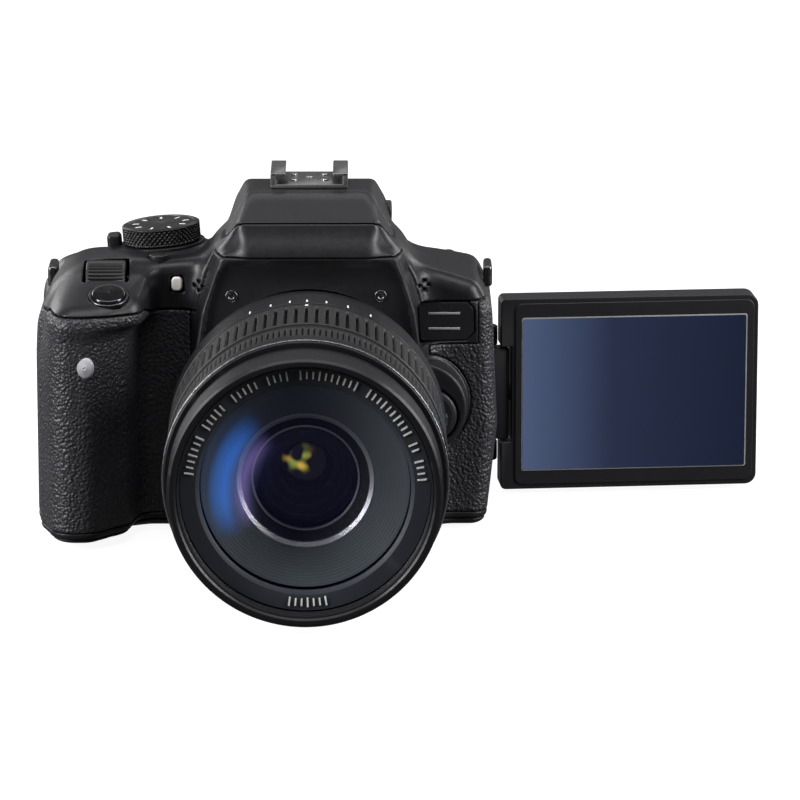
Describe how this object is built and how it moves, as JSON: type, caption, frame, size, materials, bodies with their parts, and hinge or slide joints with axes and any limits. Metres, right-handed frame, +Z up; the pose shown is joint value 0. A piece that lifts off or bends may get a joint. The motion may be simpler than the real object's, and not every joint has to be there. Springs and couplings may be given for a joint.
{
  "type": "dslr camera",
  "caption": "Single-lens reflex camera with a zoom lens, rubber hand grip, pop-up flash, accessory shoe and a side-hinged swivelling rear screen.",
  "frame": {"origin": "on the base plate, straight under the lens axis, in the plane of the image sensor", "axes": "+Z up out of the accessory shoe, -Y along the lens axis towards the subject, +X towards the hinge side of the rear screen"},
  "size_m": [0.2099, 0.1646, 0.1007],
  "materials": {
    "moulded_black": "fine satin texture",
    "grip_rubber": "pebbled leather grain",
    "soft_rubber": "smooth matt",
    "ring_rubber": "ribbed",
    "lens_black": "satin",
    "name_ring_black": "matt",
    "lens_glass": "coated, blue and violet reflection",
    "optical_glass": "clear",
    "button_black": "satin",
    "shutter_gloss": "polished",
    "dial_black": "knurled",
    "screen_plastic": "satin charcoal",
    "display": "dark blue, polished",
    "badge": "satin",
    "lamp_white": "milky",
    "sensor_grey": "satin grey",
    "steel": "brushed",
    "shutter_metal": "blackened",
    "mirror": "front-silvered",
    "inner_black": "flocked matt",
    "electronics": "circuit board"
  },
  "bodies": {
    "camera_body": {"front_cover": "moulded_black", "grip_rubber": "grip_rubber", "side_rubber": "grip_rubber", "base_cover": "moulded_black", "rear_cover": "moulded_black", "top_cover": "moulded_black", "tripod_socket": "steel", "shoe_rails": "steel", "shoe_contacts": "inner_black", "lens_mount": "steel", "mirror_box": "inner_black", "focusing_screen": "optical_glass", "prism_block": "optical_glass", "shutter_frame": "shutter_metal", "image_sensor": "electronics", "main_board": "electronics", "eyepiece_lens": "lens_glass", "eyecup": "soft_rubber", "remote_window": "sensor_grey", "af_lamp": "lamp_white", "badge_plate": "badge", "strap_lug_left": "steel", "strap_lug_right": "steel", "battery": "inner_black", "memory_card": "inner_black"},
    "terminal_door": {"terminal_door": "moulded_black"},
    "card_door": {"card_door": "moulded_black"},
    "battery_door": {"battery_door": "moulded_black"},
    "flash": {"flash_head": "moulded_black", "flash_window": "lamp_white"},
    "lock_pin": {"lens_lock_pin": "steel"},
    "lens_release": {"lens_release_button": "button_black"},
    "mirror": {"reflex_mirror": "mirror"},
    "curtain": {"shutter_curtain": "shutter_metal"},
    "diopter": {"diopter_knob": "button_black"},
    "shutter_release": {"shutter_button": "shutter_gloss"},
    "main_dial": {"main_dial": "dial_black"},
    "power_lever": {"power_lever": "button_black"},
    "mode_dial": {"mode_dial": "dial_black"},
    "iso_button": {"iso_button": "button_black"},
    "live_view_button": {"live_view_button": "button_black"},
    "menu_button": {"menu_button": "button_black"},
    "info_button": {"info_button": "button_black"},
    "playback_button": {"playback_button": "button_black"},
    "erase_button": {"erase_button": "button_black"},
    "cross_keys": {"cross_keys": "button_black"},
    "set_button": {"set_button": "button_black"},
    "screen_arm": {"screen_arm": "screen_plastic"},
    "screen_panel": {"screen_case": "screen_plastic", "screen_glass": "display"},
    "lens": {"lens_barrel": "lens_black", "rear_lens_group": "lens_glass"},
    "zoom_ring": {"zoom_ring": "ring_rubber"},
    "focus_ring": {"focus_ring": "ring_rubber"},
    "zoom_tube": {"inner_barrel": "lens_black", "name_ring": "name_ring_black", "front_element": "lens_glass", "middle_lens_group": "lens_glass"},
    "focus_mode_switch": {"focus_mode_switch": "button_black"},
    "stabiliser_switch": {"stabiliser_switch": "button_black"}
  },
  "joints": [
    {"name": "screen_swing", "type": "hinge", "parent": "camera_body", "child": "screen_arm", "pos_m": [0.051, 0.013, 0.0297], "axis": [0, 0, -1], "range_deg": [-175, 0]},
    {"name": "screen_twist", "type": "hinge", "parent": "screen_arm", "child": "screen_panel", "pos_m": [0.051, 0.013, 0.0297], "axis": [-0.9962, -0.0872, 0], "range_deg": [0, 270]},
    {"name": "lens_bayonet", "type": "hinge", "parent": "camera_body", "child": "lens", "pos_m": [0, -0.044, 0.0388], "axis": [0, -1, 0], "range_deg": [0, 60]},
    {"name": "zoom_turn", "type": "hinge", "parent": "lens", "child": "zoom_ring", "pos_m": [0, -0.092, 0.0388], "axis": [0, -1, 0], "range_deg": [0, 75]},
    {"name": "zoom_extend", "type": "slide", "parent": "lens", "child": "zoom_tube", "axis": [0, -1, 0], "range_m": [0, 0.038]},
    {"name": "focus_turn", "type": "hinge", "parent": "lens", "child": "focus_ring", "pos_m": [0, -0.112, 0.0388], "axis": [0, -1, 0], "continuous": true},
    {"name": "focus_mode_slide", "type": "slide", "parent": "lens", "child": "focus_mode_switch", "axis": [0, 1, 0], "range_m": [0, 0.003]},
    {"name": "stabiliser_slide", "type": "slide", "parent": "lens", "child": "stabiliser_switch", "axis": [0, 1, 0], "range_m": [0, 0.003]},
    {"name": "mode_dial_turn", "type": "hinge", "parent": "camera_body", "child": "mode_dial", "pos_m": [-0.042, -0.008, 0.0783], "axis": [-0.0785, 0, 0.9969], "continuous": true},
    {"name": "main_dial_turn", "type": "hinge", "parent": "camera_body", "child": "main_dial", "pos_m": [-0.057, -0.03, 0.0696], "axis": [1, 0, 0], "continuous": true},
    {"name": "power_lever_turn", "type": "hinge", "parent": "camera_body", "child": "power_lever", "pos_m": [-0.042, -0.008, 0.0783], "axis": [-0.0785, 0, 0.9969], "range_deg": [-25, 25]},
    {"name": "shutter_press", "type": "slide", "parent": "camera_body", "child": "shutter_release", "axis": [0, 0.342, -0.9397], "range_m": [0, 0.0012], "stiffness_N_per_m": 600},
    {"name": "flash_popup", "type": "hinge", "parent": "camera_body", "child": "flash", "pos_m": [0, -0.02, 0.0966], "axis": [-1, 0, 0], "range_deg": [0, 70]},
    {"name": "lens_release_press", "type": "slide", "parent": "camera_body", "child": "lens_release", "axis": [0, 1, 0], "range_m": [0, 0.0015], "stiffness_N_per_m": 400},
    {"name": "lock_pin_slide", "type": "slide", "parent": "camera_body", "child": "lock_pin", "axis": [0, 1, 0], "range_m": [0, 0.0015]},
    {"name": "iso_press", "type": "slide", "parent": "camera_body", "child": "iso_button", "axis": [0, 0, -1], "range_m": [0, 0.0006], "stiffness_N_per_m": 300},
    {"name": "live_view_press", "type": "slide", "parent": "camera_body", "child": "live_view_button", "axis": [0, -1, 0], "range_m": [0, 0.0007], "stiffness_N_per_m": 300},
    {"name": "menu_press", "type": "slide", "parent": "camera_body", "child": "menu_button", "axis": [0, -1, 0], "range_m": [0, 0.0007], "stiffness_N_per_m": 300},
    {"name": "info_press", "type": "slide", "parent": "camera_body", "child": "info_button", "axis": [0, -1, 0], "range_m": [0, 0.0007], "stiffness_N_per_m": 300},
    {"name": "playback_press", "type": "slide", "parent": "camera_body", "child": "playback_button", "axis": [0, -1, 0], "range_m": [0, 0.0007], "stiffness_N_per_m": 300},
    {"name": "erase_press", "type": "slide", "parent": "camera_body", "child": "erase_button", "axis": [0, -1, 0], "range_m": [0, 0.0007], "stiffness_N_per_m": 300},
    {"name": "cross_keys_press", "type": "slide", "parent": "camera_body", "child": "cross_keys", "axis": [0, -1, 0], "range_m": [0, 0.0007], "stiffness_N_per_m": 300},
    {"name": "set_press", "type": "slide", "parent": "camera_body", "child": "set_button", "axis": [0, -1, 0], "range_m": [0, 0.0007], "stiffness_N_per_m": 300},
    {"name": "diopter_turn", "type": "hinge", "parent": "camera_body", "child": "diopter", "pos_m": [0.0222, 0.011, 0.084], "axis": [1, 0, 0], "range_deg": [-135, 135]},
    {"name": "terminal_door_hinge", "type": "hinge", "parent": "camera_body", "child": "terminal_door", "pos_m": [0.0534, -0.0191, 0.032], "axis": [0, 0, -1], "range_deg": [0, 90]},
    {"name": "card_door_hinge", "type": "hinge", "parent": "camera_body", "child": "card_door", "pos_m": [-0.0777, 0.011, 0.033], "axis": [0, 0, -1], "range_deg": [0, 90]},
    {"name": "battery_door_hinge", "type": "hinge", "parent": "camera_body", "child": "battery_door", "pos_m": [-0.0561, -0.029, 0.0004], "axis": [0, -1, 0], "range_deg": [0, 90]},
    {"name": "mirror_flip", "type": "hinge", "parent": "camera_body", "child": "mirror", "pos_m": [0, -0.009, 0.0495], "axis": [-1, 0, 0], "range_deg": [0, 45]},
    {"name": "curtain_drop", "type": "slide", "parent": "camera_body", "child": "curtain", "axis": [0, 0, -1], "range_m": [0, 0.0175]}
  ],
  "couplings": [
    {"joint": "zoom_extend", "follows": "zoom_turn", "m_per_rad": 0.029},
    {"joint": "lock_pin_slide", "follows": "lens_release_press", "ratio": 1}
  ]
}
